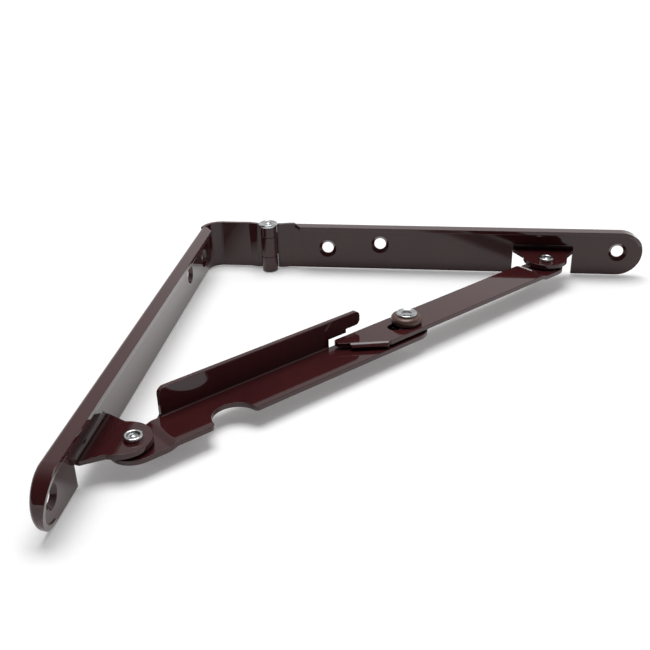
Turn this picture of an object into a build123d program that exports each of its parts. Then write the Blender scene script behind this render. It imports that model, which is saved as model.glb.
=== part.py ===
from build123d import *
import os
from math import atan2, cos, degrees, hypot, radians, sin

# Folding shelf bracket lying on its side: a wall leg and a shelf arm of folded sheet, hinged at the
# corner, held square by a two-piece toggle strut that lies across them.
# "Plan" is the view along the pivots. It starts at the outer corner of the bracket, x runs out along
# the shelf arm, y runs back up the wall leg, and z is the height above the legs' lower edges.

# ---- Legs -------------------------------------------------------------------------------------
wall_length = 238.0         # corner to the tip of the wall leg
arm_length = 233.0          # corner to the tip of the shelf arm
leg_height = 25.0           # height of both webs
leg_sheet = 2.0             # sheet of both legs
flange_width = 7.0          # stiffening flange, over its bend
flange_bend = 1.8           # outer radius of the flange bend
corner_radius = 10.0        # outer radius of the wall leg's corner bend
wall_flange_start = 17.0    # corner to the full width of the wall leg's flange
wall_flange_runout = 9.0    # length over which that flange dies out towards the corner
arm_flange_start = 54.0     # corner to the full width of the arm's flange
arm_flange_runout = 4.0
wall_lip_foot = 0.0         # height at which the lip round each tip has died out
arm_lip_foot = 16.0

# ---- Corner hinge -----------------------------------------------------------------------------
hinge_reach = 36.0          # corner to the hinge axis, along the arm
pin_radius = 2.2
pin_clearance = 0.05        # radial play of the pin in its knuckles
knuckle_joggle = 1.2        # step of each strap from the face of its web to its knuckle
joggle_start = 11.0         # hinge axis to the near and far ends of that step
joggle_end = 6.6
knuckle_wrap = 292.0        # degrees of sheet rolled round the pin
lower_knuckle = 8.0         # height of the lower knuckle
middle_knuckle = 11.0       # height of the arm's knuckle
knuckle_gap = 0.2           # play between one knuckle and the next
strap_gap = 0.7             # play round a knuckle in the cut-out of the other strap
pin_head_radius = 5.1
pin_head_height = 1.7
pin_dish_radius = 2.6
pin_dish_depth = 1.1
pin_tail_radius = 3.3
pin_tail_height = 0.9

# ---- Screw holes ------------------------------------------------------------------------------
screw_radius = 3.1
countersink_radius = 4.8
wall_hole_first = 16.0      # corner to the first hole of the wall leg
arm_hole_first = 67.5       # corner to the first hole of the arm
hole_spacing = 28.5         # first hole to second hole, on both legs
wall_hole_height = 11.0     # mean height of the wall leg's hole row
arm_hole_height = 12.6      # mean height of the arm's hole row
hole_stagger = 1.4          # each hole of a pair lies this far below or above its row

# ---- Strut pivots -----------------------------------------------------------------------------
wall_pivot_reach = 190.0    # corner to the wall leg's pivot
arm_pivot_reach = 182.0     # corner to the arm's pivot
pivot_offset = 18.5         # both pivots, from the outer face of their leg
ear_width = 22.0
ear_nose = 7.0              # pivot to the nose of its ear
ear_root = 31.0             # width of each ear at its bend
ear_flare = 8.0             # length over which the ear widens to its root
ear_bend = 1.8              # inner radius of the ear's bend

# ---- Struts -----------------------------------------------------------------------------------
strut_sheet = 2.0
lower_strut_height = 6.6    # under the lower strut's base
strut_gap = 1.2             # between the two struts, filled by the centre washer
ear_clearance = 0.3         # between a strut and the ear that passes over it
joggle_drop = 1.0           # each strut steps down by this under its ear
joggle_reach = 9.5          # pivot to the near end of that step
joggle_length = 3.0
joggle_radius = 3.0
ear_play = 0.1              # axial play of each pivot's washer
lower_strut_width = 19.0
lower_flange_height = 12.0  # above the lower strut's base
lower_flange_start = 17.0   # wall pivot to the near end of that flange
lower_flange_end = 110.0    # wall pivot to the flange's far end, above the upper strut's tail
lower_flange_lead = 4.0     # slanted start of the flange's root
lower_flange_corner = 3.0
strut_bend = 0.6            # inner radius of the flange's bend
beak_length = 8.0           # the flange's nose, past that end
beak_height = 6.4
beak_corner = 2.4
upper_strut_width = 17.0
tail_length = 36.0          # centre pivot to the end of the upper strut's tail
tail_clearance = 0.6        # round the tail as it swings under the flange
tail_corner = 1.5
tail_cut_along = 17.0       # centre pivot to the start of the tail's slanted edge
tail_cut_across = 4.8       # where that edge meets the tail's end, from the strut's middle
lip_length = 17.0           # finger lip turned down along the slanted edge
lip_inset = 1.2             # lip's end to the start of that edge
lip_reach = 1.5
lip_drop = 1.15
lip_bend = 1.5
lip_corner = 1.6
slot_travel = 7.5           # lift of the upper strut that its slot allows
notch_radius = 9.3
notch_corner = 1.8
notch_inset = 0.5           # notch centre inside the strut's edge

# ---- Rivets, collar and washers ---------------------------------------------------------------
rivet_radius = 2.6
rivet_clearance = 0.05      # radial play of a strut on its rivet
rivet_play = 0.1            # axial play between a strut and the tail of its rivet
rivet_head_radius = 3.7
rivet_head_height = 1.9
rivet_tail_radius = 3.6
rivet_tail_height = 1.3
rivet_hollow_radius = 1.5
rivet_hollow_depth = 2.6
centre_radius = 3.0         # shank of the centre rivet
centre_head_radius = 4.7
centre_head_height = 1.1
centre_tail_radius = 4.4
centre_hollow_radius = 2.6
centre_hollow_depth = 0.7
collar_play = 0.1           # under the collar
collar_height = 3.9
collar_top_radius = 4.7
collar_bulge_radius = 7.1
collar_bulge_height = 2.1
collar_foot_radius = 5.9
washer_radius = 6.0
rim_share = 0.4             # share of a head's height at which its rim begins to roll over
hollow_floor_share = 0.8    # width of a hollow's floor, as a share of its mouth
turned_chords = 3           # flats that stand for a rolled rim
collar_chords = 4           # flats that stand for the collar's bulge

# ---- Places worked out from the driving dimensions ---------------------------------------------
origin = (-arm_length / 2, wall_length / 2, pin_tail_height)
plan = Plane(origin=origin)

roll_radius = pin_radius + pin_clearance + leg_sheet / 2
barrel_radius = roll_radius + leg_sheet / 2
hinge_inset = barrel_radius + knuckle_joggle
hinge = (hinge_reach, -hinge_inset)
wall_pivot = (pivot_offset, -wall_pivot_reach)
arm_pivot = (arm_pivot_reach, -pivot_offset)

# Locked, the struts lie in line from pivot to pivot. Folded, the lower strut lies parallel to the
# wall leg. Both hold for one place of the centre pivot.
locked_x = arm_pivot[0] - wall_pivot[0]
locked_y = arm_pivot[1] - wall_pivot[1]
locked_reach = hypot(locked_x, locked_y)
strut_angle = degrees(atan2(locked_y, locked_x))
folded_along = wall_pivot_reach - hinge_inset - (arm_pivot_reach - hinge_reach)
folded_across = hinge_reach + hinge_inset - 2 * pivot_offset
lower_reach = (locked_reach**2 - folded_along**2 - folded_across**2) / (2 * (locked_reach - folded_along))
upper_reach = locked_reach - lower_reach
strut_direction = (cos(radians(strut_angle)), sin(radians(strut_angle)), 0)

base_top = lower_strut_height + strut_sheet
upper_strut_height = base_top + strut_gap
upper_top = upper_strut_height + strut_sheet
wall_ear_under = base_top + ear_clearance
arm_ear_under = upper_top + ear_clearance
middle_start = lower_knuckle + knuckle_gap
middle_end = middle_start + middle_knuckle
upper_start = middle_end + knuckle_gap


def plan_point(x, y, z=0.0):
    """World position of a point given in plan."""
    return (origin[0] + x, origin[1] + y, origin[2] + z)


def strut_frame(along, height=0.0):
    """Plane across the bracket at a height, with x running from the wall pivot to the arm pivot."""
    x = wall_pivot[0] + along * strut_direction[0]
    y = wall_pivot[1] + along * strut_direction[1]
    return Plane(origin=plan_point(x, y, height), x_dir=strut_direction, z_dir=(0, 0, 1))


# Each leg has a side plane, x along the leg and z inward, and a frame at its ear, y inward.
wall_side = Plane(origin=origin, x_dir=(0, 1, 0), z_dir=(1, 0, 0))
arm_side = Plane(origin=origin, x_dir=(1, 0, 0), z_dir=(0, -1, 0))
wall_ear_frame = Plane(origin=plan_point(0, -wall_pivot_reach), x_dir=(0, -1, 0), z_dir=(0, 0, 1))
arm_ear_frame = Plane(origin=plan_point(arm_pivot_reach, 0), x_dir=(-1, 0, 0), z_dir=(0, 0, 1))


def leg_profile(side, root, tip, inset=0.0, open_foot=False):
    """Side view of a leg from its root to a half-round tip, drawn inset from its edge.

    With an open foot it also takes in everything down to the leg's lower edge.
    """
    with BuildSketch(side) as profile:
        with Locations(((root + tip) / 2, leg_height / 2)):
            Rectangle(abs(tip - root), leg_height - 2 * inset)
        with Locations((tip, leg_height / 2)):
            Circle(leg_height / 2 - inset)
        if open_foot:
            with Locations(((root + tip) / 2, leg_height / 4)):
                Rectangle(abs(tip - root), leg_height / 2)
    return profile.sketch


def flange_trim(frame, start, runout):
    """Plan of what is cut from the flange where it dies out towards the corner."""
    with BuildSketch(frame) as trim:
        with BuildLine():
            Polyline(
                (0, leg_sheet),
                (start - runout, leg_sheet),
                (start, flange_width + 1),
                (0, flange_width + 1),
                close=True,
            )
        make_face()
    return trim.sketch


def lip_trim(plane, foot):
    """Cross-section of what is cut from the lip round the tip, so that it dies out at its foot."""
    with BuildSketch(plane) as trim:
        with BuildLine():
            Polyline(
                (leg_sheet, foot),
                (flange_width, leg_height - leg_sheet),
                (flange_width + 1, leg_height - leg_sheet),
                (flange_width + 1, -1),
                (leg_sheet, -1),
                close=True,
            )
        make_face()
    return trim.sketch


def ear_plan(frame):
    """Plan of an ear: a wide root, flared into parallel sides, and a round nose."""
    half = ear_width / 2
    root = ear_root / 2
    nose = pivot_offset + ear_nose
    bend_end = leg_sheet + ear_bend
    side_start = bend_end + ear_flare
    with BuildSketch(frame) as outline:
        with BuildLine():
            Line((0, 0), (root, 0))
            Line((root, 0), (root, bend_end))
            Line((root, bend_end), (half, side_start))
            Line((half, side_start), (half, nose - half))
            RadiusArc((half, nose - half), (0, nose), -half)
            Line((0, nose), (0, 0))
        make_face()
        mirror(about=Plane.YZ)
    return outline.sketch


def ear_section(frame, height):
    """Cross-section of an ear that is bent inward out of the web, its top at the given height."""
    centre = (leg_sheet + ear_bend, height + ear_bend)
    with BuildSketch(Plane(origin=frame.origin, x_dir=frame.y_dir, z_dir=frame.x_dir)) as section:
        with BuildLine():
            bend = CenterArc(centre, ear_bend + leg_sheet / 2, 180, 90)
            Line(bend @ 1, (pivot_offset + ear_nose + 1, height - leg_sheet / 2))
        trace(line_width=leg_sheet)
    return section.sketch


def formed_ear(frame, under):
    """Ear with its pivot hole, cut and bent out of the lower part of a web."""
    with BuildPart() as ear:
        extrude(ear_section(frame, under + leg_sheet), amount=ear_root / 2, both=True)
        extrude(ear_plan(frame), amount=leg_height, mode=Mode.INTERSECT)
        with BuildSketch(frame) as pivot_hole:
            with Locations((0, pivot_offset)):
                Circle(rivet_radius)
        extrude(pivot_hole.sketch, amount=leg_height, mode=Mode.SUBTRACT)
    return ear.part


def ear_window(side, place, under):
    """Side view of the window that an ear leaves in its web, open at the lower edge."""
    top = under + leg_sheet + ear_bend
    with BuildSketch(side) as window:
        with Locations((place, top / 2)):
            Rectangle(ear_root, top)
    return window.sketch


def strap_path(knuckle_side, length, corner):
    """Middle line of a leg's sheet in plan, from the web to the top of its knuckle.

    knuckle_side is -1 for a strap that reaches the hinge from the corner, and 1 for one that
    reaches it from the tip of the arm.
    """
    middle = -leg_sheet / 2
    near = hinge_reach + knuckle_side * joggle_end
    far = hinge_reach + knuckle_side * joggle_start
    stepped = middle - knuckle_joggle
    start = [(leg_sheet / 2, -length), (leg_sheet / 2, middle)] if corner else [(length, middle)]
    radii = [corner_radius - leg_sheet / 2] if corner else []
    points = start + [(far, middle), (near, stepped), (hinge_reach, stepped)]
    return points, radii + [joggle_radius, joggle_radius]


def strap_plan(knuckle_side, length, corner, wrapped, height=0.0):
    """Plan of a leg's sheet round its corner and up to the hinge, with or without its knuckle."""
    points, radii = strap_path(knuckle_side, length, corner)
    with BuildSketch(plan.offset(height)) as strap:
        with BuildLine():
            FilletPolyline(*points, radius=radii)
            if wrapped:
                CenterArc(hinge, roll_radius, 90, knuckle_side * knuckle_wrap)
        trace(line_width=leg_sheet)
        if not wrapped:
            with Locations(hinge):
                Circle(barrel_radius + strap_gap, mode=Mode.SUBTRACT)
            with Locations((hinge[0] - knuckle_side * barrel_radius, hinge[1] + barrel_radius)):
                Rectangle(2 * barrel_radius, 2 * barrel_radius, mode=Mode.SUBTRACT)
    return strap.sketch


def screw_holes(side, places):
    """Planes on the inner face of a leg's web, at the leg's screw holes."""
    spots = []
    for along, height in places:
        point = side.from_local_coords((along, height, leg_sheet))
        spots.append(Plane(origin=point, x_dir=side.x_dir, z_dir=side.z_dir))
    return spots


def flange_edges(part, side, root):
    """Edges of a leg's outer face that the flange bend rounds: its top edge and round its tip."""
    chosen = []
    for edge in part.edges():
        places = [side.to_local_coords(edge @ step) for step in (0, 0.5, 1)]
        on_face = all(abs(place.Z) < 1e-4 for place in places)
        at_root = all(abs(place.X - root) < 1e-4 for place in places)
        at_foot = all(abs(place.Y) < 1e-4 for place in places)
        if on_face and not at_root and not at_foot:
            chosen.append(edge)
    return chosen


def flanged_leg(side, top_frame, lip_section, lip_foot, root, tip, start, runout):
    """Leg's straight run: a web whose top edge is turned inward, on round its half-round tip."""
    with BuildPart() as leg:
        extrude(leg_profile(side, root, tip), amount=flange_width)
        fillet(flange_edges(leg.part, side, root), radius=flange_bend)
        hollow = leg_profile(side.offset(leg_sheet), root, tip, leg_sheet, open_foot=True)
        extrude(hollow, amount=flange_width, mode=Mode.SUBTRACT)
        extrude(lip_trim(lip_section, lip_foot), amount=leg_height / 2, mode=Mode.SUBTRACT)
        extrude(flange_trim(top_frame, start, runout), amount=leg_height, both=True, mode=Mode.SUBTRACT)
    return leg.part


# ---- Wall leg ---------------------------------------------------------------------------------
wall_tip = wall_length - leg_height / 2
wall_top_frame = Plane(origin=plan_point(0, 0, leg_height), x_dir=(0, -1, 0), z_dir=(0, 0, 1))
wall_lip_section = Plane(origin=plan_point(0, -wall_tip), x_dir=(1, 0, 0), z_dir=(0, -1, 0))
wall_run = flanged_leg(wall_side, wall_top_frame, wall_lip_section, wall_lip_foot, -corner_radius,
                       -wall_tip, wall_flange_start, wall_flange_runout)
wall_ear = formed_ear(wall_ear_frame, wall_ear_under)
wall_holes = [
    (-wall_hole_first, wall_hole_height - hole_stagger),
    (-wall_hole_first - hole_spacing, wall_hole_height + hole_stagger),
    (-wall_tip, wall_hole_height),
]

with BuildPart() as wall_leg:
    add(wall_run)
    extrude(strap_plan(-1, corner_radius, True, False), amount=leg_height)
    extrude(strap_plan(-1, corner_radius, True, True), amount=lower_knuckle)
    extrude(strap_plan(-1, corner_radius, True, True, upper_start), amount=leg_height - upper_start)
    extrude(ear_window(wall_side, -wall_pivot_reach, wall_ear_under), amount=leg_sheet, mode=Mode.SUBTRACT)
    add(wall_ear)
    with Locations(*screw_holes(wall_side, wall_holes)):
        CounterSinkHole(screw_radius, countersink_radius, leg_sheet, 90)
wall_leg.part.label = "wall_leg"

# ---- Shelf arm --------------------------------------------------------------------------------
arm_tip = arm_length - leg_height / 2
arm_root = hinge_reach + joggle_start + joggle_radius
arm_top_frame = Plane(origin=plan_point(0, 0, leg_height), x_dir=(1, 0, 0), z_dir=(0, 0, -1))
arm_lip_section = Plane(origin=plan_point(arm_length, 0), x_dir=(0, -1, 0), z_dir=(-1, 0, 0))
arm_run = flanged_leg(arm_side, arm_top_frame, arm_lip_section, arm_lip_foot, arm_root, arm_tip,
                      arm_flange_start, arm_flange_runout)
arm_ear = formed_ear(arm_ear_frame, arm_ear_under)
arm_holes = [
    (arm_hole_first, arm_hole_height - hole_stagger),
    (arm_hole_first + hole_spacing, arm_hole_height + hole_stagger),
    (arm_tip, arm_hole_height),
]

with BuildPart() as shelf_arm:
    add(arm_run)
    extrude(strap_plan(1, arm_root, False, False), amount=leg_height)
    extrude(strap_plan(1, arm_root, False, True, middle_start), amount=middle_knuckle)
    extrude(ear_window(arm_side, arm_pivot_reach, arm_ear_under), amount=leg_sheet, mode=Mode.SUBTRACT)
    add(arm_ear)
    with Locations(*screw_holes(arm_side, arm_holes)):
        CounterSinkHole(screw_radius, countersink_radius, leg_sheet, 90)
shelf_arm.part.label = "shelf_arm"


# ---- Lower strut ------------------------------------------------------------------------------
def strut_side(frame):
    """Upright plane along a strut's middle, with x along the strut and y up."""
    return Plane(origin=frame.origin, x_dir=frame.x_dir, z_dir=-frame.y_dir)


def joggled_strip(frame, half_width, points):
    """Strip of sheet that steps down near one end, drawn along the middle of its thickness."""
    with BuildPart() as strip:
        with BuildSketch(strut_side(frame)):
            with BuildLine():
                FilletPolyline(*points, radius=joggle_radius)
            trace(line_width=strut_sheet)
        extrude(amount=half_width, both=True)
    return strip.part


def lower_strut_plan():
    """Plan of the lower strut's base, with round ends, its notch and its two holes."""
    with BuildSketch(lower_frame) as outline:
        with Locations((lower_reach / 2, 0)):
            SlotCenterToCenter(lower_reach, lower_strut_width)
        with Locations((folded_along, notch_inset - lower_half)):
            Circle(notch_radius, mode=Mode.SUBTRACT)
        on_edge = outline.vertices().filter_by(lambda corner: abs(corner.Y + lower_half) < 1e-4)
        mouth = on_edge.filter_by(lambda corner: abs(corner.X - folded_along) < notch_radius)
        fillet(mouth, radius=notch_corner)
        Circle(rivet_radius + rivet_clearance, mode=Mode.SUBTRACT)
        with Locations((lower_reach, 0)):
            Circle(centre_radius, mode=Mode.SUBTRACT)
    return outline.sketch


def flange_side_view():
    """Side view of the lower strut's flange, undercut for the tail, with its beak."""
    beak_end = lower_flange_end + beak_length
    with BuildSketch(strut_side(lower_frame)) as view:
        with BuildLine():
            Polyline(
                (lower_flange_root, lower_strut_height),
                (lower_flange_root, base_top),
                (lower_flange_start, base_top),
                (lower_flange_start, flange_top),
                (beak_end, flange_top),
                (beak_end, flange_top - beak_height),
                (lower_flange_end, flange_top - beak_height),
                (lower_flange_end, undercut_top),
                (undercut_start, undercut_top),
                (undercut_start, lower_strut_height),
                close=True,
            )
        make_face()
        fillet(view.vertices().group_by(Axis.X)[-1], radius=beak_corner)
        fillet(view.vertices().filter_by(lambda corner: abs(corner.X - lower_flange_start) < 1e-4)
               .sort_by(Axis.Y)[-1], radius=lower_flange_corner)
    return view.sketch


def strut_flange():
    """Flange turned up along the lower strut's edge, with its bend and its slanted root."""
    root_plane = Plane(origin=lower_frame.from_local_coords((lower_flange_root, 0, 0)),
                       x_dir=lower_frame.y_dir, z_dir=lower_frame.x_dir)
    base_middle = lower_strut_height + strut_sheet / 2
    middle = lower_half + strut_sheet / 2
    with BuildPart() as flange:
        with BuildSketch(root_plane):
            with BuildLine():
                FilletPolyline(
                    (lower_half / 2, base_middle),
                    (middle, base_middle),
                    (middle, flange_top),
                    radius=strut_bend + strut_sheet / 2,
                )
            trace(line_width=strut_sheet)
        extrude(amount=lower_flange_end + beak_length - lower_flange_root)
        extrude(flange_side_view(), amount=lower_strut_width, both=True, mode=Mode.INTERSECT)
        with BuildSketch(lower_frame):
            with BuildLine():
                Polyline(
                    (lower_flange_root, flange_outer - lower_flange_lead),
                    (lower_flange_root, flange_outer),
                    (lower_flange_start, flange_outer),
                    close=True,
                )
            make_face()
        extrude(amount=leg_height, mode=Mode.SUBTRACT)
    return flange.part


lower_frame = strut_frame(0)
lower_half = lower_strut_width / 2
flange_outer = lower_half + strut_sheet
flange_top = base_top + lower_flange_height
lower_flange_root = lower_flange_start - lower_flange_lead
upper_half = upper_strut_width / 2
undercut_start = lower_reach - hypot(tail_length, upper_half) - tail_clearance
undercut_top = upper_top + tail_clearance
lower_middle = lower_strut_height + strut_sheet / 2
lower_strip = joggled_strip(lower_frame, lower_strut_width, [
    (-lower_strut_width, lower_middle - joggle_drop),
    (joggle_reach, lower_middle - joggle_drop),
    (joggle_reach + joggle_length, lower_middle),
    (lower_reach + lower_strut_width, lower_middle),
])
lower_flange = strut_flange()

with BuildPart() as lower_strut:
    add(lower_strip)
    extrude(lower_strut_plan(), amount=leg_height, mode=Mode.INTERSECT)
    add(lower_flange)
lower_strut.part.label = "lower_strut"


# ---- Upper strut ------------------------------------------------------------------------------
def upper_strut_plan():
    """Plan of the upper strut: round end, lock slot, pivot hole and slanted tail."""
    with BuildSketch(upper_frame) as outline:
        with BuildLine():
            Polyline(
                (-tail_length, upper_half),
                (upper_reach, upper_half),
                (upper_reach, -upper_half),
                (-tail_cut_along, -upper_half),
                (-tail_length, tail_cut_across),
                close=True,
            )
        make_face()
        fillet(outline.vertices().group_by(Axis.X)[0].sort_by(Axis.Y)[-1], radius=tail_corner)
        with Locations((upper_reach, 0)):
            Circle(upper_half)
            Circle(rivet_radius + rivet_clearance, mode=Mode.SUBTRACT)
        with Locations((-slot_travel / 2, 0)):
            SlotCenterToCenter(slot_travel, 2 * (centre_radius + rivet_clearance), mode=Mode.SUBTRACT)
    return outline.sketch


def tail_lip():
    """Finger lip turned down along the tail's slanted edge."""
    edge = Vector(tail_cut_along - tail_length, tail_cut_across + upper_half)
    middle = Vector(-tail_cut_along, -upper_half) + edge.normalized() * (lip_inset + lip_length / 2)
    start = upper_frame.from_local_coords((middle.X, middle.Y, 0))
    along = upper_frame.from_local_coords(middle + edge) - start
    lip_frame = Plane(origin=start, x_dir=along, z_dir=(0, 0, 1))
    height = upper_strut_height + strut_sheet / 2
    with BuildPart() as lip:
        with BuildSketch(Plane(origin=start, x_dir=lip_frame.y_dir, z_dir=lip_frame.x_dir)):
            with BuildLine():
                points = [(-strut_sheet, height), (0, height), (lip_reach, height - lip_drop)]
                FilletPolyline(*points, radius=lip_bend)
            trace(line_width=strut_sheet)
        extrude(amount=lip_length / 2, both=True)
        with BuildSketch(lip_frame):
            outer = lip_reach + strut_sheet * sin(atan2(lip_drop, lip_reach)) / 2
            with Locations((0, outer / 2 - strut_sheet)):
                Rectangle(lip_length, outer + 2 * strut_sheet)
            fillet(vertices().group_by(Axis.Y)[-1], radius=lip_corner)
        extrude(amount=leg_height, mode=Mode.INTERSECT)
    return lip.part


upper_frame = strut_frame(lower_reach)
upper_middle = upper_strut_height + strut_sheet / 2
upper_strip = joggled_strip(upper_frame, upper_strut_width, [
    (-tail_length - strut_sheet, upper_middle),
    (upper_reach - joggle_reach - joggle_length, upper_middle),
    (upper_reach - joggle_reach, upper_middle - joggle_drop),
    (upper_reach + upper_strut_width, upper_middle - joggle_drop),
])
finger_lip = tail_lip()

with BuildPart() as upper_strut:
    add(upper_strip)
    extrude(upper_strut_plan(), amount=leg_height, mode=Mode.INTERSECT)
    add(finger_lip)
upper_strut.part.label = "upper_strut"


# ---- Hinge pin, rivets, washers and collar ----------------------------------------------------
def axis_plane(place):
    """Upright plane through a pivot's axis, with x outward and y up."""
    return Plane(origin=plan_point(*place), x_dir=(1, 0, 0), z_dir=(0, -1, 0))


def chords(curve, count):
    """Points that divide a curve into equal chords."""
    return [curve @ (step / count) for step in range(count + 1)]


def headed_shank(place, foot, seat, shank, head, hollow):
    """Turned shank with a rolled head on its seat and a hollow in the middle of the head.

    The head and the hollow are each a radius and a height or depth.
    """
    head_radius, head_height = head
    hollow_radius, hollow_depth = hollow
    top = seat + head_height
    rim = seat + rim_share * head_height
    crown = ((head_radius + hollow_radius) / 2, top)
    profile_plane = axis_plane(place)
    with BuildPart() as body:
        with BuildSketch(profile_plane):
            with BuildLine():
                rolled = ThreePointArc((head_radius, rim), crown, (hollow_radius, rim), mode=Mode.PRIVATE)
                Polyline(
                    (0, top - hollow_depth),
                    (0, foot),
                    (shank, foot),
                    (shank, seat),
                    (head_radius, seat),
                    *chords(rolled, turned_chords),
                    (hollow_floor_share * hollow_radius, top - hollow_depth),
                    close=True,
                )
            make_face()
        revolve(axis=Axis(profile_plane.origin, profile_plane.y_dir))
    return body.part


def tail_disc(place, seat, radius, height):
    """Closed-over tail below its seat, its lower edge bevelled."""
    with BuildPart() as disc:
        with BuildSketch(plan.offset(seat)):
            with Locations(place):
                Circle(radius)
        extrude(amount=-height)
        chamfer(disc.edges().group_by(Axis.Z)[0], length=0.45 * height)
    return disc.part


def washer_plan(place, height, hole, radius):
    """Plan of a washer at a height."""
    with BuildSketch(plan.offset(height)) as ring:
        with Locations(place):
            Circle(radius)
            Circle(hole, mode=Mode.SUBTRACT)
    return ring.sketch


def pin_plan(height):
    """Plan of the hinge pin at a height."""
    with BuildSketch(plan.offset(height)) as disc:
        with Locations(hinge):
            Circle(pin_radius)
    return disc.sketch


pin_head = headed_shank(hinge, upper_start, leg_height, pin_radius,
                        (pin_head_radius, pin_head_height), (pin_dish_radius, pin_dish_depth))
pin_tail = tail_disc(hinge, 0, pin_tail_radius, pin_tail_height)
with BuildPart() as hinge_pin_ends:
    add(pin_head)
    extrude(pin_plan(0), amount=lower_knuckle)
    add(pin_tail)
hinge_pin_ends.part.label = "hinge_pin_ends"

with BuildPart() as hinge_pin_middle:
    extrude(pin_plan(middle_start), amount=middle_knuckle)
hinge_pin_middle.part.label = "hinge_pin_middle"

rivet_head = (rivet_head_radius, rivet_head_height)
rivet_hollow = (rivet_hollow_radius, rivet_hollow_depth)
wall_tail_seat = lower_strut_height - joggle_drop - rivet_play
wall_rivet_shank = headed_shank(wall_pivot, wall_tail_seat, wall_ear_under + leg_sheet, rivet_radius,
                                rivet_head, rivet_hollow)
wall_rivet_tail = tail_disc(wall_pivot, wall_tail_seat, rivet_tail_radius, rivet_tail_height)
with BuildPart() as wall_pivot_rivet:
    add(wall_rivet_shank)
    add(wall_rivet_tail)
wall_pivot_rivet.part.label = "wall_pivot_rivet"

arm_tail_seat = upper_strut_height - joggle_drop - rivet_play
arm_rivet_shank = headed_shank(arm_pivot, arm_tail_seat, arm_ear_under + leg_sheet, rivet_radius,
                               rivet_head, rivet_hollow)
arm_rivet_tail = tail_disc(arm_pivot, arm_tail_seat, rivet_tail_radius, rivet_tail_height)
with BuildPart() as shelf_pivot_rivet:
    add(arm_rivet_shank)
    add(arm_rivet_tail)
shelf_pivot_rivet.part.label = "shelf_pivot_rivet"

ear_washer_height = joggle_drop + ear_clearance - ear_play
with BuildPart() as wall_pivot_washer:
    extrude(washer_plan(wall_pivot, wall_ear_under, rivet_radius, washer_radius), amount=-ear_washer_height)
wall_pivot_washer.part.label = "wall_pivot_washer"

with BuildPart() as shelf_pivot_washer:
    extrude(washer_plan(arm_pivot, arm_ear_under, rivet_radius, washer_radius), amount=-ear_washer_height)
shelf_pivot_washer.part.label = "shelf_pivot_washer"

centre_point = lower_frame.from_local_coords((lower_reach, 0, 0))
centre = (centre_point.X - origin[0], centre_point.Y - origin[1])
collar_foot = upper_top + collar_play
collar_top = collar_foot + collar_height
centre_head = (centre_head_radius, centre_head_height)
centre_hollow = (centre_hollow_radius, centre_hollow_depth)
centre_shank = headed_shank(centre, lower_strut_height, collar_top, centre_radius, centre_head, centre_hollow)
centre_tail = tail_disc(centre, lower_strut_height, centre_tail_radius, rivet_tail_height)
with BuildPart() as centre_rivet:
    add(centre_shank)
    add(centre_tail)
centre_rivet.part.label = "centre_rivet"

collar_plane = axis_plane(centre)
with BuildPart() as centre_collar:
    with BuildSketch(collar_plane):
        with BuildLine():
            bulge = ThreePointArc(
                (collar_foot_radius, collar_foot),
                (collar_bulge_radius, collar_foot + collar_bulge_height),
                (collar_top_radius, collar_top),
                mode=Mode.PRIVATE,
            )
            Polyline((centre_radius, collar_top), (centre_radius, collar_foot), *chords(bulge, collar_chords),
                     close=True)
        make_face()
    revolve(axis=Axis(collar_plane.origin, collar_plane.y_dir))
centre_collar.part.label = "centre_collar"

with BuildPart() as centre_washer:
    extrude(washer_plan(centre, base_top, centre_radius, washer_radius), amount=strut_gap - ear_play)
centre_washer.part.label = "centre_washer"

# ---- Export -----------------------------------------------------------------------------------
os.makedirs("parts", exist_ok=True)
export_step(wall_leg.part, "parts/wall_leg.step")
export_step(shelf_arm.part, "parts/shelf_arm.step")
export_step(lower_strut.part, "parts/lower_strut.step")
export_step(upper_strut.part, "parts/upper_strut.step")
export_step(hinge_pin_ends.part, "parts/hinge_pin_ends.step")
export_step(hinge_pin_middle.part, "parts/hinge_pin_middle.step")
export_step(wall_pivot_rivet.part, "parts/wall_pivot_rivet.step")
export_step(shelf_pivot_rivet.part, "parts/shelf_pivot_rivet.step")
export_step(wall_pivot_washer.part, "parts/wall_pivot_washer.step")
export_step(shelf_pivot_washer.part, "parts/shelf_pivot_washer.step")
export_step(centre_rivet.part, "parts/centre_rivet.step")
export_step(centre_collar.part, "parts/centre_collar.step")
export_step(centre_washer.part, "parts/centre_washer.step")
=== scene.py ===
"""Folding shelf bracket lying open on a pale floor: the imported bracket, dressed and lit."""

import logging
from dataclasses import dataclass
from enum import Enum
from math import cos, pi, radians, sin
from typing import Any, Sequence

import bmesh
import bpy
from mathutils import Matrix, Vector


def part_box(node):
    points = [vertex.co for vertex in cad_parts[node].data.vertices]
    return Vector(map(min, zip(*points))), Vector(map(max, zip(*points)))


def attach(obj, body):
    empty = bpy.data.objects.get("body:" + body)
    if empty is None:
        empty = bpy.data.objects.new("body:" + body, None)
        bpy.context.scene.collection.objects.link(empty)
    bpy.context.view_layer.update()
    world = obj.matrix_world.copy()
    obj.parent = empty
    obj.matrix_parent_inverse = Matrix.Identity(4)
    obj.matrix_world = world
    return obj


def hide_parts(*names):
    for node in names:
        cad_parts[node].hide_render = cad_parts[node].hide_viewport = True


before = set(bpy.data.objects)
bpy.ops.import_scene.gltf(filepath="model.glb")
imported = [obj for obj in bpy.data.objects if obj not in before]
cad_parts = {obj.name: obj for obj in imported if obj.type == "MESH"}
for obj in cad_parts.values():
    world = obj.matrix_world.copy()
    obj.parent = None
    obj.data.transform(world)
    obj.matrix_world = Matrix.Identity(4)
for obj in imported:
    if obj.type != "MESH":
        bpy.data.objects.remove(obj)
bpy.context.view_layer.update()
MM = 0.001
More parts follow.
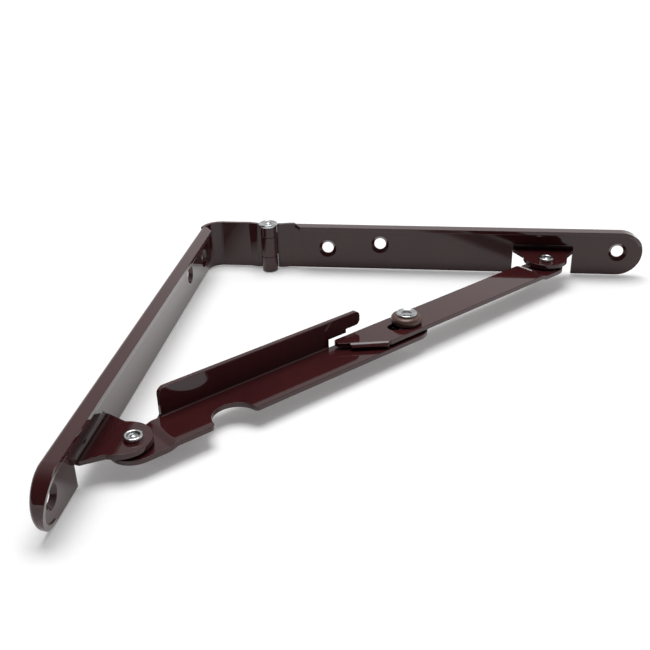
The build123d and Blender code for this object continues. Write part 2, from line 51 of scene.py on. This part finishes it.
# Sockets of the mix node that blend colours, which share their names with its other sockets.
MIX_FACTOR, MIX_LOW, MIX_HIGH, MIX_RESULT = 0, 6, 7, 2
# Turned corners sharper than this many degrees stay crisp.
CRISP_ANGLE = 38
log = logging.getLogger("bracket")


def linear(hex_colour: str) -> tuple[float, float, float, float]:
    """Turn an sRGB hex colour into linear light.

    Args:
        hex_colour: Colour such as "#3a2d2f".

    Returns:
        Red, green, blue and alpha, with alpha 1.
    """
    digits = hex_colour.lstrip("#")
    parts = [int(digits[i:i + 2], 16) / 255 for i in (0, 2, 4)]
    levels = [p / 12.92 if p <= 0.04045 else ((p + 0.055) / 1.055) ** 2.4 for p in parts]
    return (levels[0], levels[1], levels[2], 1.0)


def add_node(tree: bpy.types.NodeTree, kind: str,
             settings: dict[str, Any] | None = None,
             links: dict[str, Any] | None = None) -> bpy.types.Node:
    """Add a shader node with its settings and its incoming links.

    Args:
        tree: Node tree that the node joins.
        kind: Blender's type name of the node.
        settings: Values by name, each a property of the node or the default of an input socket.
        links: Output sockets by the name of the input socket that they feed.

    Returns:
        The new node.
    """
    made = tree.nodes.new(kind)
    for name, value in (settings or {}).items():
        if hasattr(made, name):
            setattr(made, name, value)
        else:
            made.inputs[name].default_value = value
    for name, source in (links or {}).items():
        tree.links.new(source, made.inputs[name])
    return made


def blank_material(name: str) -> tuple[bpy.types.Material, bpy.types.NodeTree]:
    """Start a material with an empty node tree.

    Args:
        name: Name of the finish.

    Returns:
        The material and its tree.
    """
    material = bpy.data.materials.new(name)
    material.use_nodes = True
    material.node_tree.nodes.clear()
    return material, material.node_tree


@dataclass(frozen=True)
class StoveEnamel:
    """Oxblood stove enamel, sprayed on pressed steel and baked: a deep, wet-looking gloss."""

    name: str = "oxblood_stove_enamel"
    thin_colour: str = "#461e20"
    deep_colour: str = "#341416"
    cloud_mm: float = 22.0
    peel_mm: float = 1.6
    peel_depth_mm: float = 0.0022
    speck_mm: float = 0.8
    speck_from: float = 0.35
    speck_full: float = 0.75
    edge_radius_mm: float = 0.45
    edge_samples: int = 6
    roughness_low: float = 0.05
    roughness_high: float = 0.11
    ior: float = 1.38
    lacquer: float = 0.65
    lacquer_ior: float = 1.3
    lacquer_roughness: float = 0.03

    def build(self) -> bpy.types.Material:
        """Make the enamel.

        Returns:
            The material.
        """
        material, tree = blank_material(self.name)
        place = add_node(tree, "ShaderNodeTexCoord").outputs["Object"]
        # The sprayed film lies thicker in some places, which deepens its red.
        cloud = add_node(tree, "ShaderNodeTexNoise",
                         {"Scale": 1 / (self.cloud_mm * MM), "Detail": 3.0}, {"Vector": place})
        tone = add_node(tree, "ShaderNodeMix", {"data_type": "RGBA"})
        tone.inputs[MIX_LOW].default_value = linear(self.deep_colour)
        tone.inputs[MIX_HIGH].default_value = linear(self.thin_colour)
        tree.links.new(cloud.outputs["Fac"], tone.inputs[MIX_FACTOR])
        # Fine dust baked into the film dulls the gloss in small specks.
        speck = add_node(tree, "ShaderNodeTexNoise",
                         {"Scale": 1 / (self.speck_mm * MM), "Detail": 2.0}, {"Vector": place})
        gloss = add_node(tree, "ShaderNodeMapRange",
                         {"From Min": self.speck_from, "From Max": self.speck_full,
                          "To Min": self.roughness_low, "To Max": self.roughness_high},
                         {"Value": speck.outputs["Fac"]})
        # Orange peel shows as a slow ripple in what the gloss mirrors.
        peel = add_node(tree, "ShaderNodeTexNoise",
                        {"Scale": 1 / (self.peel_mm * MM), "Detail": 1.0}, {"Vector": place})
        # Enamel draws round every cut edge in a soft line.
        edge = add_node(tree, "ShaderNodeBevel",
                        {"samples": self.edge_samples, "Radius": self.edge_radius_mm * MM})
        bump = add_node(tree, "ShaderNodeBump",
                        {"Strength": 1.0, "Distance": self.peel_depth_mm * MM},
                        {"Height": peel.outputs["Fac"], "Normal": edge.outputs["Normal"]})
        shader = add_node(tree, "ShaderNodeBsdfPrincipled",
                          {"IOR": self.ior, "Coat Weight": self.lacquer,
                           "Coat IOR": self.lacquer_ior, "Coat Roughness": self.lacquer_roughness},
                          {"Base Color": tone.outputs[MIX_RESULT],
                           "Roughness": gloss.outputs["Result"],
                           "Normal": bump.outputs["Normal"],
                           "Coat Normal": bump.outputs["Normal"]})
        add_node(tree, "ShaderNodeOutputMaterial", links={"Surface": shader.outputs["BSDF"]})
        return material


@dataclass(frozen=True)
class ZincPlate:
    """Bright zinc plate on headed steel: cool grey metal, faintly mottled by the plating bath."""

    name: str = "bright_zinc_plate"
    bright: str = "#dfe0e0"
    dull: str = "#a7aaac"
    crystal_mm: float = 0.6
    grain_depth_mm: float = 0.003
    grain_strength: float = 0.6
    roughness_low: float = 0.12
    roughness_high: float = 0.26

    def build(self) -> bpy.types.Material:
        """Make the plate.

        Returns:
            The material.
        """
        material, tree = blank_material(self.name)
        place = add_node(tree, "ShaderNodeTexCoord").outputs["Object"]
        # Zinc crystals differ a little in how bright and how smooth they lie.
        crystal = add_node(tree, "ShaderNodeTexNoise",
                           {"Scale": 1 / (self.crystal_mm * MM), "Detail": 4.0},
                           {"Vector": place})
        tone = add_node(tree, "ShaderNodeMix", {"data_type": "RGBA"})
        tone.inputs[MIX_LOW].default_value = linear(self.dull)
        tone.inputs[MIX_HIGH].default_value = linear(self.bright)
        tree.links.new(crystal.outputs["Fac"], tone.inputs[MIX_FACTOR])
        gloss = add_node(tree, "ShaderNodeMapRange",
                         {"To Min": self.roughness_low, "To Max": self.roughness_high},
                         {"Value": crystal.outputs["Fac"]})
        bump = add_node(tree, "ShaderNodeBump",
                        {"Strength": self.grain_strength, "Distance": self.grain_depth_mm * MM},
                        {"Height": crystal.outputs["Fac"]})
        shader = add_node(tree, "ShaderNodeBsdfPrincipled", {"Metallic": 1.0},
                          {"Base Color": tone.outputs[MIX_RESULT],
                           "Roughness": gloss.outputs["Result"],
                           "Normal": bump.outputs["Normal"]})
        add_node(tree, "ShaderNodeOutputMaterial", links={"Surface": shader.outputs["BSDF"]})
        return material


@dataclass(frozen=True)
class BrownLacquer:
    """Thin brown lacquer over a turned steel collar: the lathe's rings still show through it."""

    name: str = "brown_lacquer_on_turned_steel"
    high_colour: str = "#705449"
    low_colour: str = "#3a2824"
    ring_mm: float = 0.9
    ring_depth_mm: float = 0.02
    ring_strength: float = 0.7
    ring_waver: float = 0.6
    fleck_mm: float = 0.5
    roughness_low: float = 0.24
    roughness_high: float = 0.42
    ior: float = 1.5
    metal: float = 0.2

    def build(self) -> bpy.types.Material:
        """Make the lacquer.

        Returns:
            The material.
        """
        material, tree = blank_material(self.name)
        place = add_node(tree, "ShaderNodeTexCoord").outputs["Object"]
        # The tool leaves a ring at each turn of the feed, drawn coarser than it is so that it
        # shows. At this scale the bands repeat once every ring_mm up the collar.
        ring = add_node(tree, "ShaderNodeTexWave",
                        {"wave_type": "BANDS", "bands_direction": "Z",
                         "Scale": pi / (10 * self.ring_mm * MM),
                         "Distortion": self.ring_waver, "Detail": 1.0}, {"Vector": place})
        # The lacquer is rubbed thin in flecks, where the steel shines through.
        fleck = add_node(tree, "ShaderNodeTexNoise",
                         {"Scale": 1 / (self.fleck_mm * MM), "Detail": 3.0}, {"Vector": place})
        tone = add_node(tree, "ShaderNodeMix", {"data_type": "RGBA"})
        tone.inputs[MIX_LOW].default_value = linear(self.low_colour)
        tone.inputs[MIX_HIGH].default_value = linear(self.high_colour)
        tree.links.new(fleck.outputs["Fac"], tone.inputs[MIX_FACTOR])
        gloss = add_node(tree, "ShaderNodeMapRange",
                         {"To Min": self.roughness_low, "To Max": self.roughness_high},
                         {"Value": fleck.outputs["Fac"]})
        bump = add_node(tree, "ShaderNodeBump",
                        {"Strength": self.ring_strength, "Distance": self.ring_depth_mm * MM},
                        {"Height": ring.outputs["Fac"]})
        shader = add_node(tree, "ShaderNodeBsdfPrincipled",
                          {"IOR": self.ior, "Metallic": self.metal},
                          {"Base Color": tone.outputs[MIX_RESULT],
                           "Roughness": gloss.outputs["Result"],
                           "Normal": bump.outputs["Normal"]})
        add_node(tree, "ShaderNodeOutputMaterial", links={"Surface": shader.outputs["BSDF"]})
        return material


class Side(Enum):
    """The two ends of the strut: the start of its rivet's name, and the body that carries it."""

    WALL = ("wall", "wall")
    SHELF = ("shelf", "arm")


def node_axis(node: str) -> tuple[Vector, float, float, float]:
    """Find the upright axis of a packed turned node.

    Args:
        node: Name of the node.

    Returns:
        The point where the axis meets the floor, in metres, then the node's lowest and highest
        points and its largest radius, in millimetres.
    """
    low, high = (Vector(corner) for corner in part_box(node))
    middle = (low + high) / 2
    return Vector((middle.x, middle.y, 0)), low.z / MM, high.z / MM, (high.x - low.x) / 2 / MM


def arc(centre: tuple[float, float], radii: tuple[float, float], start: float,
        end: float, steps: int = 8) -> list[tuple[float, float]]:
    """Points along an arc of a turned outline.

    Args:
        centre: Radius and height of the arc's centre, in millimetres.
        radii: The arc's half width and half height, in millimetres.
        start: First angle in degrees, from outward.
        end: Last angle in degrees.
        steps: Number of chords.

    Returns:
        Radius and height pairs.
    """
    angles = [(start + (end - start) * k / steps) * pi / 180 for k in range(steps + 1)]
    return [(centre[0] + radii[0] * cos(a), centre[1] + radii[1] * sin(a)) for a in angles]


def peened_end(low: float, radius: float, height: float, inset: float,
               roll: float) -> list[tuple[float, float]]:
    """Outline of an end hammered over into a button, from the axis out to its upper edge.

    Args:
        low: Height of its underside.
        radius: Its largest radius.
        height: Its thickness.
        inset: How far its flat underside stops short of the largest radius.
        roll: Half width of its rounded edge.

    Returns:
        Radius and height pairs, in millimetres.
    """
    bulge = height / 2
    return [(0, low), (radius - inset, low),
            *arc((radius - roll, low + bulge), (roll, bulge), start=-70, end=90)]


def lathe(name: str, outline: Sequence[tuple[float, float]], foot: Vector,
          steps: int = 72) -> bpy.types.Object:
    """Turn an outline round an upright axis.

    Args:
        name: Name of the new object.
        outline: Radius and height pairs in millimetres, from the axis below to the axis above.
        foot: Point on the axis at floor height, in metres.
        steps: Faces round the axis.

    Returns:
        The turned piece, its corners sharp and the rest smooth.
    """
    shape = bmesh.new()
    ring = [(cos(2 * pi * k / steps), sin(2 * pi * k / steps)) for k in range(steps)]
    rows: list[list[bmesh.types.BMVert]] = []
    for radius, height in outline:
        spots = [(0.0, 0.0)] if radius == 0 else ring
        rows.append([shape.verts.new(foot + Vector((radius * x, radius * y, height)) * MM)
                     for x, y in spots])
    for low, high in zip(rows, rows[1:]):
        for k in range(steps):
            corners = [low[k % len(low)], low[(k + 1) % len(low)],
                       high[(k + 1) % len(high)], high[k % len(high)]]
            unique = list(dict.fromkeys(corners))
            if len(unique) > 2:
                shape.faces.new(unique)
    bmesh.ops.recalc_face_normals(shape, faces=shape.faces)
    mesh = bpy.data.meshes.new(name)
    shape.to_mesh(mesh)
    shape.free()
    mesh.shade_smooth()
    mesh.set_sharp_from_angle(angle=radians(CRISP_ANGLE))
    made = bpy.data.objects.new(name, mesh)
    bpy.context.scene.collection.objects.link(made)
    return made


def fit_turned(piece: bpy.types.Object, node: str, body: str,
               material: bpy.types.Material) -> None:
    """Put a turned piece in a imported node's place.

    Args:
        piece: The turned piece.
        node: Node that it stands for.
        body: Body that it rides on.
        material: Its finish.
    """
    piece.data.materials.append(material)
    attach(piece, body)
    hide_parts(node)
    log.info("%s turned in %s", piece.name, material.name)


def dress(node: str, material: bpy.types.Material) -> None:
    """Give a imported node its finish.

    Args:
        node: Name of the node.
        material: Finish for all of its slots.
    """
    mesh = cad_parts[node].data
    mesh.materials.clear()
    mesh.materials.append(material)
    log.info("%s dressed in %s", node, material.name)


@dataclass
class PressedSheet:
    """The four pressed steel pieces and the plain washers between them."""

    enamel: bpy.types.Material
    nodes: tuple[str, ...] = ("wall_leg", "shelf_arm", "lower_strut", "upper_strut",
                              "wall_pivot_washer", "shelf_pivot_washer", "centre_washer")

    def build(self) -> None:
        """Dress every pressed piece in enamel."""
        for node in self.nodes:
            dress(node, self.enamel)


@dataclass
class CornerHinge:
    """The pin that joins the two legs: a wide dished head above and a peened end below.

    Its sizes are in millimetres, apart from dish_slope, a share of the dish's radius.
    """

    zinc: bpy.types.Material
    pin_radius: float = 2.2
    head_height: float = 1.55
    underside_inset: float = 0.35
    rim_width: float = 1.1
    rim_height: float = 0.75
    dish_radius: float = 2.6
    dish_depth: float = 0.95
    dish_slope: float = 0.75
    step_reach: float = 0.35
    step_drop: float = 0.2
    step_width: float = 0.3
    step_height: float = 0.22
    pip_radius: float = 1.1
    pip_height: float = 0.28
    tail_radius: float = 4.25
    tail_height: float = 0.9
    tail_inset: float = 1.0
    tail_roll: float = 0.7

    def head_outline(self, foot: float, top: float, radius: float) -> list[tuple[float, float]]:
        """Outline of the head and the pin in the upper knuckle.

        Args:
            foot: Height where this stretch of the pin starts.
            top: Height of the head's rim.
            radius: Radius of the head.

        Returns:
            Radius and height pairs.
        """
        seat = top - self.head_height
        roll = self.rim_width / 2
        step = top - self.dish_depth / 2
        floor = top - self.dish_depth
        return [(0, foot), (self.pin_radius, foot), (self.pin_radius, seat),
                (radius - self.underside_inset, seat),
                *arc((radius - roll, top - self.rim_height), (roll, self.rim_height),
                     start=-35, end=120, steps=12),
                (self.dish_radius + self.step_reach, step),
                *arc((self.dish_radius, step - self.step_drop),
                     (self.step_width, self.step_height), start=60, end=180, steps=4),
                (self.dish_slope * self.dish_radius, floor),
                *arc((0, floor), (self.pip_radius, self.pip_height), start=0, end=84, steps=4),
                (0, floor + self.pip_height)]

    def tail_outline(self, top: float) -> list[tuple[float, float]]:
        """Outline of the peened end and the pin in the lower knuckle.

        Args:
            top: Height where this stretch of the pin ends.

        Returns:
            Radius and height pairs.
        """
        return [*peened_end(0, self.tail_radius, self.tail_height, self.tail_inset,
                            self.tail_roll),
                (self.pin_radius, self.tail_height), (self.pin_radius, top), (0, top)]

    def build(self) -> None:
        """Turn the pin's two ends and dress its middle."""
        foot, _, top, radius = node_axis("hinge_pin_ends")
        _, low, high, _ = node_axis("hinge_pin_middle")
        head = lathe("hinge_pin_head", self.head_outline(high, top, radius), foot)
        tail = lathe("hinge_pin_tail", self.tail_outline(low), foot)
        fit_turned(head, "hinge_pin_ends", "wall", self.zinc)
        fit_turned(tail, "hinge_pin_ends", "wall", self.zinc)
        dress("hinge_pin_middle", self.zinc)


@dataclass
class StrutPivots:
    """The semi-tubular rivets at the strut's two ends, each with a rolled rim round its core.

    Their sizes are in millimetres, apart from hollow_taper, a share of the hollow's radius.
    """

    zinc: bpy.types.Material
    shank_radius: float = 2.6
    head_height: float = 1.75
    underside_inset: float = 0.1
    rim_height: float = 0.5
    hollow_radius: float = 2.3
    hollow_depth: float = 0.95
    hollow_taper: float = 0.9
    core_radius: float = 1.35
    core_height: float = 0.7
    tail_radius: float = 3.6
    tail_height: float = 1.3
    tail_inset: float = 1.2
    tail_roll: float = 0.8

    def outline(self, low: float, top: float, radius: float) -> list[tuple[float, float]]:
        """Outline of one rivet.

        Args:
            low: Height of the tail's underside.
            top: Height of the rolled rim.
            radius: Radius of the head.

        Returns:
            Radius and height pairs.
        """
        seat = top - self.head_height
        crown = (radius + self.hollow_radius) / 2
        roll = (radius - self.hollow_radius) / 2
        floor = top - self.hollow_depth
        return [*peened_end(low, self.tail_radius, self.tail_height, self.tail_inset,
                            self.tail_roll),
                (self.shank_radius, low + self.tail_height), (self.shank_radius, seat),
                (radius - self.underside_inset, seat),
                *arc((crown, top - self.rim_height), (roll, self.rim_height),
                     start=0, end=180, steps=14),
                (self.hollow_taper * self.hollow_radius, floor), (self.core_radius, floor),
                *arc((0, floor), (self.core_radius, self.core_height),
                     start=20, end=84, steps=5),
                (0, floor + self.core_height)]

    def build(self) -> None:
        """Turn both rivets."""
        for side in Side:
            node = f"{side.value[0]}_pivot_rivet"
            foot, low, top, radius = node_axis(node)
            rivet = lathe(f"{node}_turned", self.outline(low, top, radius), foot)
            fit_turned(rivet, node, side.value[1], self.zinc)


@dataclass
class CentreLock:
    """The headed rivet and the bulged collar that the slotted strut locks on.

    Sizes are in millimetres.
    """

    zinc: bpy.types.Material
    lacquer: bpy.types.Material
    shank_radius: float = 3.0
    head_height: float = 1.0
    underside_inset: float = 0.1
    rim_width: float = 0.9
    rim_height: float = 0.4
    dish_radius: float = 2.3
    dish_depth: float = 0.45
    well_depth: float = 0.95
    well_taper: float = 0.12
    pip_inset: float = 0.3
    pip_height: float = 0.2
    tail_radius: float = 4.4
    tail_height: float = 1.3
    tail_inset: float = 1.2
    tail_roll: float = 0.8
    collar_foot_radius: float = 5.9
    collar_top_radius: float = 4.75
    bulge_height: float = 2.1
    collar_steps: int = 96

    def rivet_outline(self, low: float, top: float, radius: float) -> list[tuple[float, float]]:
        """Outline of the rivet.

        Args:
            low: Height of the tail's underside.
            top: Height of the head's rim.
            radius: Radius of the head.

        Returns:
            Radius and height pairs.
        """
        seat = top - self.head_height
        roll = self.rim_width / 2
        well = top - self.well_depth
        return [*peened_end(low, self.tail_radius, self.tail_height, self.tail_inset,
                            self.tail_roll),
                (self.shank_radius, low + self.tail_height), (self.shank_radius, seat),
                (radius - self.underside_inset, seat),
                *arc((radius - roll, top - self.rim_height), (roll, self.rim_height),
                     start=-20, end=135, steps=10),
                (self.dish_radius, top - self.dish_depth),
                (self.dish_radius - self.well_taper, well),
                *arc((0, well), (self.dish_radius - self.pip_inset, self.pip_height),
                     start=0, end=84, steps=6),
                (0, well + self.pip_height)]

    def collar_outline(self, low: float, top: float, radius: float) -> list[tuple[float, float]]:
        """Outline of the collar, closed round its bore.

        Args:
            low: Height of the collar's foot.
            top: Height of its top.
            radius: Radius of its bulge.

        Returns:
            Radius and height pairs.
        """
        middle = low + self.bulge_height
        foot, crown = self.collar_foot_radius, self.collar_top_radius
        below = arc((foot, middle), (radius - foot, middle - low), start=-90, end=0, steps=10)
        above = arc((crown, middle), (radius - crown, top - middle), start=0, end=90, steps=12)
        return [(self.shank_radius, low), *below, *above[1:], (self.shank_radius, top),
                (self.shank_radius, low)]

    def build(self) -> None:
        """Turn the rivet and its collar."""
        foot, low, top, radius = node_axis("centre_rivet")
        rivet = lathe("centre_rivet_turned", self.rivet_outline(low, top, radius), foot)
        fit_turned(rivet, "centre_rivet", "lower", self.zinc)
        foot, low, top, radius = node_axis("centre_collar")
        collar = lathe("centre_collar_turned", self.collar_outline(low, top, radius), foot,
                       self.collar_steps)
        fit_turned(collar, "centre_collar", "lower", self.lacquer)


@dataclass
class Studio:
    """White sweep, the light of the room, one soft lamp and the camera.

    Lengths are in metres unless their name says otherwise. Each turn is the range of one part of
    a ray's direction over which the room's light goes from one level to the next. Only the ratio
    of focal_length to frame_width counts.
    """

    floor_size: float = 6.0
    floor_colour: str = "#f3f3f3"
    floor_lift: float = 0.17
    lit_reach: float = 0.2
    white_reach: float = 0.8
    front_level: float = 0.08
    depth_turn: tuple[float, float] = (-0.45, 0.45)
    overhead_level: float = 0.7
    height_turn: tuple[float, float] = (0.1, 0.5)
    left_level: float = 0.75
    across_turn: tuple[float, float] = (-0.5, 0.5)
    lamp_place: tuple[float, float, float] = (-0.08, 0.16, 1.1)
    lamp_size: float = 0.7
    lamp_watts: float = 10.0
    camera_mm: tuple[float, float, float] = (6.771, -327.295, 189.740)
    yaw: float = -0.1305
    pitch: float = 0.4643
    roll: float = -0.0262
    focal_length: float = 880.9
    frame_width: float = 650.0
    sensor_mm: float = 36.0
    near_clip: float = 0.01

    def floor(self) -> None:
        """Lay the floor under the bracket."""
        bpy.ops.mesh.primitive_plane_add(size=self.floor_size, location=(0, 0, 0))
        sheet = bpy.context.object
        sheet.name = "floor"
        material, tree = blank_material("white_paper_sweep")
        path = add_node(tree, "ShaderNodeLightPath")
        seen = add_node(tree, "ShaderNodeMath", {"operation": "MAXIMUM"})
        tree.links.new(path.outputs["Is Camera Ray"], seen.inputs[0])
        tree.links.new(path.outputs["Is Glossy Ray"], seen.inputs[1])
        # Far from the bracket, where the lamps fade, the paper is seen as plain white.
        place = add_node(tree, "ShaderNodeTexCoord").outputs["Object"]
        away = add_node(tree, "ShaderNodeVectorMath", {"operation": "LENGTH"})
        tree.links.new(place, away.inputs[0])
        white = add_node(tree, "ShaderNodeMapRange",
                         {"From Min": self.lit_reach, "From Max": self.white_reach,
                          "To Min": self.floor_lift, "To Max": 1.0},
                         {"Value": away.outputs["Value"]})
        lift = add_node(tree, "ShaderNodeMapRange", {"To Min": 0.0},
                        {"Value": seen.outputs[0], "To Max": white.outputs["Result"]})
        # Matt paper scatters light evenly, and its own lift reaches only the eye and the gloss.
        paper = add_node(tree, "ShaderNodeBsdfDiffuse", {"Color": linear(self.floor_colour)})
        glow = add_node(tree, "ShaderNodeEmission", {"Color": (1, 1, 1, 1)},
                        {"Strength": lift.outputs["Result"]})
        both = add_node(tree, "ShaderNodeAddShader")
        tree.links.new(paper.outputs["BSDF"], both.inputs[0])
        tree.links.new(glow.outputs["Emission"], both.inputs[1])
        add_node(tree, "ShaderNodeOutputMaterial", links={"Surface": both.outputs["Shader"]})
        sheet.data.materials.append(material)

    def world(self) -> None:
        """Light the room: white behind the bracket, dimmer overhead and left, dark in front."""
        world = bpy.data.worlds.new("studio")
        bpy.context.scene.world = world
        world.use_nodes = True
        tree = world.node_tree
        tree.nodes.clear()
        heading = add_node(tree, "ShaderNodeTexCoord").outputs["Generated"]
        axes = add_node(tree, "ShaderNodeSeparateXYZ", links={"Vector": heading})
        depth = add_node(tree, "ShaderNodeMapRange",
                         {"interpolation_type": "SMOOTHSTEP", "From Min": self.depth_turn[0],
                          "From Max": self.depth_turn[1], "To Min": self.front_level,
                          "To Max": 1.0}, {"Value": axes.outputs["Y"]})
        height = add_node(tree, "ShaderNodeMapRange",
                          {"interpolation_type": "SMOOTHSTEP", "From Min": self.height_turn[0],
                           "From Max": self.height_turn[1], "To Min": 1.0,
                           "To Max": self.overhead_level}, {"Value": axes.outputs["Z"]})
        across = add_node(tree, "ShaderNodeMapRange",
                          {"From Min": self.across_turn[0], "From Max": self.across_turn[1],
                           "To Min": self.left_level, "To Max": 1.0},
                          {"Value": axes.outputs["X"]})
        room = add_node(tree, "ShaderNodeMath", {"operation": "MULTIPLY"})
        tree.links.new(depth.outputs["Result"], room.inputs[0])
        tree.links.new(height.outputs["Result"], room.inputs[1])
        sides = add_node(tree, "ShaderNodeMath", {"operation": "MULTIPLY"})
        tree.links.new(room.outputs[0], sides.inputs[0])
        tree.links.new(across.outputs["Result"], sides.inputs[1])
        # The camera sees plain white, and every other ray the room.
        path = add_node(tree, "ShaderNodeLightPath")
        level = add_node(tree, "ShaderNodeMapRange", {"To Max": 1.0},
                         {"Value": path.outputs["Is Camera Ray"], "To Min": sides.outputs[0]})
        glow = add_node(tree, "ShaderNodeBackground", {"Color": (1, 1, 1, 1)},
                        {"Strength": level.outputs["Result"]})
        add_node(tree, "ShaderNodeOutputWorld", links={"Surface": glow.outputs["Background"]})

    def lamp(self) -> None:
        """Hang the soft square lamp overhead, facing the bracket."""
        data = bpy.data.lights.new("overhead_softbox", "AREA")
        data.size = self.lamp_size
        data.energy = self.lamp_watts
        hung = bpy.data.objects.new("overhead_softbox", data)
        hung.location = self.lamp_place
        hung.rotation_euler = (-Vector(self.lamp_place)).to_track_quat("-Z", "Y").to_euler()
        bpy.context.scene.collection.objects.link(hung)

    def camera(self) -> None:
        """Set up the camera, turned by yaw, then pitched down, then rolled."""
        forward = Vector((sin(self.yaw) * cos(self.pitch), cos(self.yaw) * cos(self.pitch),
                          -sin(self.pitch)))
        right = forward.cross(Vector((0, 0, 1))).normalized()
        up = right.cross(forward)
        turned_right = cos(self.roll) * right + sin(self.roll) * up
        turned_up = -sin(self.roll) * right + cos(self.roll) * up
        data = bpy.data.cameras.new("camera")
        data.sensor_width = self.sensor_mm
        data.lens = self.focal_length / self.frame_width * self.sensor_mm
        data.clip_start = self.near_clip
        eye = bpy.data.objects.new("camera", data)
        turn = Matrix((turned_right, turned_up, -forward)).transposed().to_4x4()
        eye.matrix_world = Matrix.Translation(Vector(self.camera_mm) * MM) @ turn
        bpy.context.scene.collection.objects.link(eye)
        bpy.context.scene.camera = eye

    def build(self) -> None:
        """Set up the floor, the light and the camera."""
        self.floor()
        self.world()
        self.lamp()
        self.camera()
        bpy.context.scene.view_settings.view_transform = "Standard"


def main() -> None:
    """Dress the bracket piece by piece and set up the studio."""
    logging.basicConfig(level=logging.INFO, format="%(message)s")
    enamel = StoveEnamel().build()
    zinc = ZincPlate().build()
    lacquer = BrownLacquer().build()
    PressedSheet(enamel).build()
    CornerHinge(zinc).build()
    StrutPivots(zinc).build()
    CentreLock(zinc, lacquer).build()
    Studio().build()


if __name__ == "__main__":
    main()
